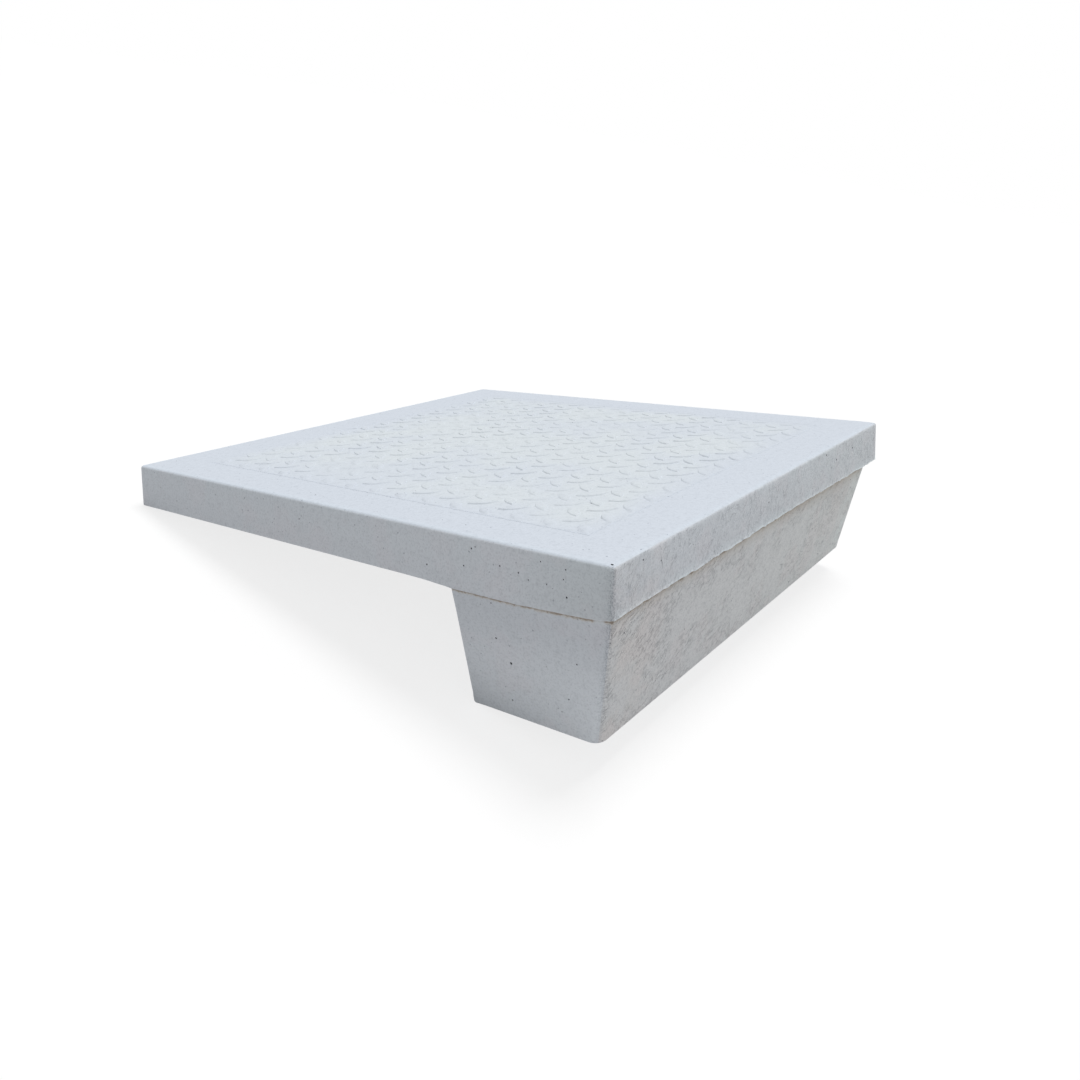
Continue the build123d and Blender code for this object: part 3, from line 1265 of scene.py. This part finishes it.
class Board:
    """A material's node tree, with the few ways in which nodes are added to it."""

    def __init__(self, tree: bpy.types.NodeTree) -> None:
        """Works on a node tree that exists."""
        self.tree = tree

    def feed(self, socket: Any, value: Any) -> None:
        """Links a signal to an input socket, or writes a plain value to it."""
        if isinstance(value, Signal):
            self.tree.links.new(value.socket, socket)
        else:
            socket.default_value = value

    def node(self, kind: str, settings: dict[str, Any], inputs: dict[Any, Any], output: Any = 0) -> Signal:
        """Adds any node.

        Args:
            kind: The node's type.
            settings: Its own properties, set first.
            inputs: Values or signals by the name or number of the input.
            output: Name or number of the output that is wanted.

        Returns:
            That output as a signal.
        """
        node = self.tree.nodes.new(kind)
        for key, value in settings.items():
            setattr(node, key, value)
        for key, value in inputs.items():
            self.feed(node.inputs[key], value)
        return Signal(self, node.outputs[output])

    def math(self, operation: str, first: Any, second: Any) -> Signal:
        """A Math node with two inputs."""
        return self.node("ShaderNodeMath", {"operation": operation}, {0: first, 1: second})

    def attribute(self, name: str) -> Signal:
        """A named attribute of the mesh, as a number."""
        return self.node("ShaderNodeAttribute", {"attribute_name": name}, {}, "Fac")

    def noise(self, place: Signal, scale: float, detail: float = 2.0, roughness: float = 0.5) -> Signal:
        """Noise from 0 to 1, with its scale in bumps to the metre."""
        inputs = {"Vector": place, "Scale": scale, "Detail": detail, "Roughness": roughness}
        return self.node("ShaderNodeTexNoise", {}, inputs, 0)

    def mapping(self, inputs: dict[str, Any]) -> Signal:
        """Coordinates moved, turned or scaled by a Mapping node."""
        return self.node("ShaderNodeMapping", {"vector_type": "POINT"}, inputs)

    def tint(self, colour: Any, mask: Any, goal: Triple, kind: str = "MIX") -> Signal:
        """Mixes a colour towards a goal, or with kind MULTIPLY multiplies it, as far as a mask says."""
        settings = {"data_type": "RGBA", "blend_type": kind, "clamp_factor": True}
        return self.node("ShaderNodeMix", settings, {0: mask, 6: colour, 7: (*goal, 1.0)}, 2)


@dataclass(frozen=True)
class Masks:
    """Level coordinates inside a material, and signals that are 1 on parts of the casting."""

    level: Signal
    x: Signal
    y: Signal
    z: Signal
    tread: Signal
    leg: Signal
    riser: Signal
    end: Signal


@dataclass(frozen=True)
class ConcreteFinish:
    """Pale cast concrete: cool grey, mottled, with fine sand, pores, and a brown stain with painted shade
    under the lip. Painted light also brightens the riser faces and the lower end faces; painted shade
    darkens the top of the leg's end and the air holes; painted shade and highlight mark the slanting
    dimples and the lip's edge.
    """

    colour: Triple = (0.715, 0.753, 0.804)
    cool: Triple = (0.985, 1.005, 1.035)
    cream: Triple = (1.055, 1.05, 1.0)
    lilac: Triple = (1.015, 0.995, 0.995)
    pink: Triple = (1.02, 0.995, 0.975)
    foot_painted_light: Triple = (1.16, 1.16, 1.15)
    near_shade: Triple = (0.93, 0.94, 0.93)
    glint: Triple = (1.15, 1.17, 1.16)
    # painted light: brightens the riser faces
    riser_lift: Triple = (1.03, 1.02, 1.015)
    top_shade: Triple = (0.91, 0.91, 0.915)
    warm: Triple = (1.015, 0.99, 0.965)
    leg_riser_painted_light: Triple = (1.09, 1.09, 1.075)
    bright: Triple = (1.07, 1.08, 1.06)
    # groove is the painted shade in the slanting dents
    groove: Triple = (0.85, 0.855, 0.86)
    stroke_painted_highlight: Triple = (1.09, 1.09, 1.09)
    milky: Triple = (1.04, 1.07, 1.07)
    shade: Triple = (0.84, 0.845, 0.85)
    speck: Triple = (0.55, 0.57, 0.60)
    # tan and brown under the lip: part stain, part painted shade and shadow
    tan: Triple = (0.56, 0.50, 0.42)
    stain_and_shadow_brown: Triple = (0.30, 0.24, 0.19)
    # painted shade inside the air holes
    hole: Triple = (0.22, 0.23, 0.25)
    stroke_slant: float = 38.0
    stroke_scale: Triple = (150.0, 300.0, 500.0)
    stroke_shift: Triple = (0.0, 0.0, 0.55)
    stroke_edge: tuple[float, float] = (0.54, 0.66)
    bleached_x: tuple[float, ...] = (-265.0 * MM, -205.0 * MM, 222.0 * MM, 262.0 * MM)
    bleached_y: tuple[float, ...] = (45.0 * MM, 95.0 * MM, 540.0 * MM, 595.0 * MM)
    dark_head: tuple[float, float] = (55.0 * MM, 108.0 * MM)
    foot_painted_light_span: tuple[float, float] = (105.0 * MM, 5.0 * MM)
    near_end: tuple[float, float] = (110.0 * MM, 10.0 * MM)
    near_riser: tuple[float, float] = (-180.0 * MM, -280.0 * MM)
    far_leg: tuple[float, float] = (240.0 * MM, 275.0 * MM)
    riser_run: tuple[float, float] = (-260.0 * MM, 260.0 * MM)
    stain_and_shade_gap: tuple[float, ...] = (5.0 * MM, 8.0 * MM, 15.0 * MM, 19.0 * MM)
    roughness: float = 0.9
    specular: float = 0.3

    def build(self, place: Matrix, slab: Slab) -> bpy.types.Material:
        """Makes the material.

        Args:
            place: The move that set the level casting down; the patterns are laid out level.
            slab: The slab, for the heights that the patterns refer to.

        Returns:
            The finished material.
        """
        material = bpy.data.materials.new("cast_concrete")
        material.use_nodes = True
        shader = material.node_tree.nodes["Principled BSDF"]
        board = Board(material.node_tree)
        on = self.lay_out(board, place, slab)
        relief = {"Strength": 1.0, "Distance": MM, "Height": self.relief(board, on)}
        grain = board.noise(on.level, 900.0)
        board.feed(shader.inputs["Base Color"], self.paint(board, on))
        board.feed(shader.inputs["Roughness"], grain * 0.12 + (self.roughness - 0.06))
        board.feed(shader.inputs["Normal"], board.node("ShaderNodeBump", {}, relief, "Normal"))
        shader.inputs["Specular IOR Level"].default_value = self.specular
        return material

    def lay_out(self, board: Board, place: Matrix, slab: Slab) -> Masks:
        """Works out the level coordinates in metres and what lies where in them.

        Args:
            board: The node tree.
            place: The move that set the level casting down.
            slab: The slab, for its heights.

        Returns:
            Coordinates and masks.
        """
        back = place.inverted()
        here = board.node("ShaderNodeTexCoord", {}, {}, "Object")
        move = {"Location": back.to_translation(), "Rotation": back.to_euler()}
        level = board.mapping({"Vector": here, **move})
        x, y, z = (board.node("ShaderNodeSeparateXYZ", {}, {0: level}, axis) for axis in range(3))
        tread = z.ramp(slab.rise - 2.0 * MM, slab.rise - 0.5 * MM)
        leg = z.ramp(slab.underside + 1.0 * MM, slab.underside - 3.0 * MM)
        riser = self.facing(board, place, Vector((0, -1, 0)))
        end = self.facing(board, place, Vector((-1, 0, 0)))
        return Masks(level, x, y, z, tread, leg, riser, end)

    def facing(self, board: Board, place: Matrix, way: Vector) -> Signal:
        """1 where the surface faces a level direction."""
        inputs = {0: board.node("ShaderNodeNewGeometry", {}, {}, "True Normal"), 1: place.to_3x3() @ way}
        share = board.node("ShaderNodeVectorMath", {"operation": "DOT_PRODUCT"}, inputs, "Value")
        return share.ramp(0.6, 0.85)

    def paint(self, board: Board, on: Masks) -> Signal:
        """Colour: thin washes laid one over the other on the base, some of them painted light and shade,
        then the stain with painted shade under the lip, and painted shade inside the holes.

        Args:
            board: The node tree.
            on: Coordinates and masks.

        Returns:
            The colour signal.
        """
        broad = board.noise(on.level, 9.0, 3.0)
        patches = board.noise(on.level, 22.0, 3.0, 0.55)
        mottle = board.noise(on.level, 170.0, 3.0, 0.6)
        sand = board.noise(on.level, 480.0, 3.0, 0.65)
        middle = on.x.within(*self.bleached_x) * on.y.within(*self.bleached_y) * on.tread
        dents, crests = self.strokes(board, on)
        stroke_share = on.leg * 0.35 + 0.65
        above_lip = board.attribute("above_lip")
        highlight_breaks = board.noise(on.level, 260.0, 1.0).ramp(0.38, 0.52)
        washes = (
            (on.tread, self.cool),
            ((broad.ramp(0.36, 0.6) * 0.6 + 0.4) * middle, self.cream),
            (patches.ramp(0.48, 0.62) * (1 - on.tread), self.lilac),
            (on.riser * on.leg, self.warm),
            # painted light: the riser faces brightened
            (on.riser, self.riser_lift),
            # painted light: the leg's riser face brightened further
            (on.riser * on.leg, self.leg_riser_painted_light),
            (on.end * on.leg * on.z.ramp(*self.dark_head), self.top_shade),
            # painted light: the end faces brightened towards the foot, where the floor shades them
            (on.end * on.z.ramp(*self.foot_painted_light_span), self.foot_painted_light),
            (on.end * (1 - on.leg) * on.y.ramp(*self.near_end), self.near_shade),
            (on.riser * on.x.ramp(*self.near_riser) * patches.ramp(0.35, 0.6), self.pink),
            (on.riser * on.x.ramp(*self.riser_run), self.bright),
            # painted shade in the slanting dents, painted highlight on the crests beside them
            (dents * stroke_share, self.groove),
            (crests * stroke_share, self.stroke_painted_highlight),
            (on.riser * on.leg * on.x.ramp(*self.far_leg) * patches.ramp(0.36, 0.52), self.milky),
            (above_lip.ramp(11.0, 4.0) * broad.ramp(0.3, 0.55) * 0.6, self.milky),
            (board.attribute("arris") * 0.45, self.milky),
            # painted highlight along the lip's edge, broken into dots
            (above_lip.ramp(3.0, 1.3) * highlight_breaks, self.glint),
            (mottle.ramp(0.46, 0.7) * (on.riser * 0.2 + 0.35), self.shade),
            (sand.ramp(0.46, 0.68) * (0.75 - on.tread * 0.3 + on.riser * 0.2), self.shade),
            (self.pores(board, on), self.speck),
            (self.rough_edge(board, on) * 0.7, self.speck),
        )
        colour: Any = (*self.colour, 1.0)
        for mask, goal in washes:
            colour = board.tint(colour, mask, goal, "MULTIPLY")
        # painted shade: the insides of the air holes darkened
        return board.tint(self.stain_and_shade(board, on, colour), board.attribute("pit"), self.hole)

    def pores(self, board: Board, on: Masks) -> Signal:
        """1 in tiny pores, scattered unevenly."""
        inputs = {"Vector": on.level, "Scale": 130.0}
        apart = board.node("ShaderNodeTexVoronoi", {"feature": "F1"}, inputs, "Distance")
        size = board.noise(on.level, 37.0, 1.0).ramp(0.35, 0.65)
        return apart.ramp(0.12, 0.05) * size

    def rough_edge(self, board: Board, on: Masks) -> Signal:
        """1 in the small voids along the near standing edge."""
        return board.attribute("upright") * board.noise(on.level, 1000.0, 2.0).ramp(0.46, 0.62)

    def strokes(self, board: Board, on: Masks) -> tuple[Signal, Signal]:
        """Short slanting dents in patches on the riser side, and the crests beside them."""
        turn = (0.0, math.radians(self.stroke_slant), 0.0)
        turned = board.mapping({"Vector": on.level, "Rotation": turn})
        laid = board.mapping({"Vector": turned, "Scale": self.stroke_scale})
        shift = board.node("ShaderNodeVectorMath", {"operation": "ADD"}, {0: laid, 1: self.stroke_shift})
        where = (board.noise(on.level, 24.0, 1.0).ramp(0.38, 0.56) * 0.75 + 0.25) * on.riser
        dents = board.noise(laid, 1.0, 1.0).ramp(*self.stroke_edge) * where
        return dents, board.noise(shift, 1.0, 1.0).ramp(*self.stroke_edge) * where * (1 - dents)

    def stain_and_shade(self, board: Board, on: Masks, colour: Signal) -> Signal:
        """Lays the brown core and tan fringe under the lip over a colour, with a short gap on the end. Both
        are part stain and part painted shadow of the lip; the wide faint fringe on the riser side is
        painted shade alone.
        """
        wander = board.noise(on.level, 300.0, 3.0) - 0.5
        along = board.attribute("stain_and_shade") + wander * (2.0 - on.riser * 0.9)
        kept = 1 - on.y.within(*self.stain_and_shade_gap) * (1 - on.riser) * 0.85
        broken = board.noise(on.level, 210.0, 2.0).ramp(0.3, 0.55) * 0.6 + 0.4
        # painted shade: a wide faint tan fringe under the riser lip
        colour = board.tint(colour, along.ramp(2.9, 0.4) * on.riser * 0.3, self.tan)
        # stain and painted shade: the tan fringe just under the lip
        colour = board.tint(colour, along.ramp(1.0, 0.0) * kept * 0.5, self.tan)
        # stain and painted shadow: the brown core right under the lip
        return board.tint(colour, along.ramp(0.15, -0.2) * kept * broken * 0.8, self.stain_and_shadow_brown)

    def relief(self, board: Board, on: Masks) -> Signal:
        """Height of the fine relief in millimetres: sand, pores, and slanting dimples on the riser side."""
        sand = board.noise(on.level, 420.0, 3.0, 0.65)
        swell = board.noise(on.level, 60.0, 2.0)
        dents, crests = self.strokes(board, on)
        fine = sand * (0.4 - on.tread * 0.16)
        voids = self.pores(board, on) * 0.4 + self.rough_edge(board, on) * 0.25
        return fine + swell * 0.3 + (crests - dents) * (on.leg * 0.12 + 0.33) - voids


@dataclass
class Studio:
    """Plain pale floor, soft light and the camera, placed level and turned with the step."""

    eye: Vector = field(default_factory=lambda: Vector((-0.8162, -0.3275, 0.3902)))
    aim: Vector = field(default_factory=lambda: Vector((-0.2827, 0.0842, 0.1651)))
    roll: float = -2.148
    focal_length: float = 29.46
    sensor: float = 36.0
    sky: float = 0.37
    sun: float = 1.98
    sun_from: Vector = field(default_factory=lambda: Vector((0.29, -0.12, 0.95)))
    sun_spread: float = 22.0
    floor_size: float = 30.0
    floor_shade: float = 0.75
    floor_white: float = 0.7
    floor_glow: float = 1.13

    def build_camera(self, place: Matrix) -> None:
        """Sets the scene's camera at the photograph's viewing angle."""
        data = bpy.data.cameras.new("camera")
        data.lens = self.focal_length
        data.sensor_width = self.sensor
        data.clip_start = 0.01
        camera = bpy.data.objects.new("camera", data)
        bpy.context.scene.collection.objects.link(camera)
        turn = (self.aim - self.eye).to_track_quat("-Z", "Y").to_matrix().to_4x4()
        roll = Matrix.Rotation(math.radians(self.roll), 4, "Z")
        camera.matrix_world = place @ Matrix.Translation(self.eye) @ turn @ roll
        bpy.context.scene.camera = camera

    def build_light(self, place: Matrix) -> None:
        """Even sky light, white where the camera sees it, and one broad soft lamp from above."""
        world = bpy.data.worlds.new("studio")
        bpy.context.scene.world = world
        world.use_nodes = True
        board = Board(world.node_tree)
        shown = board.node("ShaderNodeLightPath", {}, {}, "Is Camera Ray")
        strength = shown * (1.0 - self.sky) + self.sky
        back = world.node_tree.nodes["Background"]
        back.inputs["Color"].default_value = (1, 1, 1, 1)
        board.feed(back.inputs["Strength"], strength)
        lamp = bpy.data.lights.new("soft_lamp", "SUN")
        lamp.energy = self.sun
        lamp.angle = math.radians(self.sun_spread)
        obj = bpy.data.objects.new("soft_lamp", lamp)
        bpy.context.scene.collection.objects.link(obj)
        obj.matrix_world = place @ self.sun_from.to_track_quat("Z", "Y").to_matrix().to_4x4()

    def build_floor(self) -> None:
        """Pale floor under the step; the camera sees it nearly white, with the step's shadow on it."""
        Workpiece.deselect_all()
        bpy.ops.mesh.primitive_plane_add(size=self.floor_size)
        floor = Workpiece("floor")
        material = bpy.data.materials.new("pale_floor")
        material.use_nodes = True
        nodes = material.node_tree.nodes
        nodes["Principled BSDF"].inputs["Base Color"].default_value = (self.floor_shade,) * 3 + (1,)
        nodes["Principled BSDF"].inputs["Roughness"].default_value = 1.0
        board = Board(material.node_tree)
        shown = board.node("ShaderNodeLightPath", {}, {}, "Is Camera Ray")
        white = board.node("ShaderNodeEmission", {}, {"Color": (1, 1, 1, 1), "Strength": self.floor_glow})
        lit = Signal(board, nodes["Principled BSDF"].outputs["BSDF"])
        mixed = board.node("ShaderNodeMixShader", {}, {0: shown * self.floor_white, 1: lit, 2: white})
        board.feed(nodes["Material Output"].inputs["Surface"], mixed)
        floor.obj.data.materials.append(material)


def main() -> None:
    """Builds the casting, then the studio, and reports each piece."""
    logging.basicConfig(level=logging.INFO, format="%(name)s: %(message)s")
    bpy.context.scene.view_settings.view_transform = "Standard"
    casting = CastStep()
    step = casting.build()
    place = level_to_rest([v.co.copy() for v in step.obj.data.vertices])
    casting.set_down(step, place)
    step.activate()
    bpy.ops.object.shade_smooth_by_angle(angle=math.radians(SMOOTH_ANGLE))
    step.obj.data.materials.clear()
    step.obj.data.materials.append(ConcreteFinish().build(place, casting.slab))
    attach(step.obj, BODY)
    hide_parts(NODE)
    studio = Studio()
    studio.build_floor()
    studio.build_light(place)
    studio.build_camera(place)


if __name__ == "__main__":
    main()
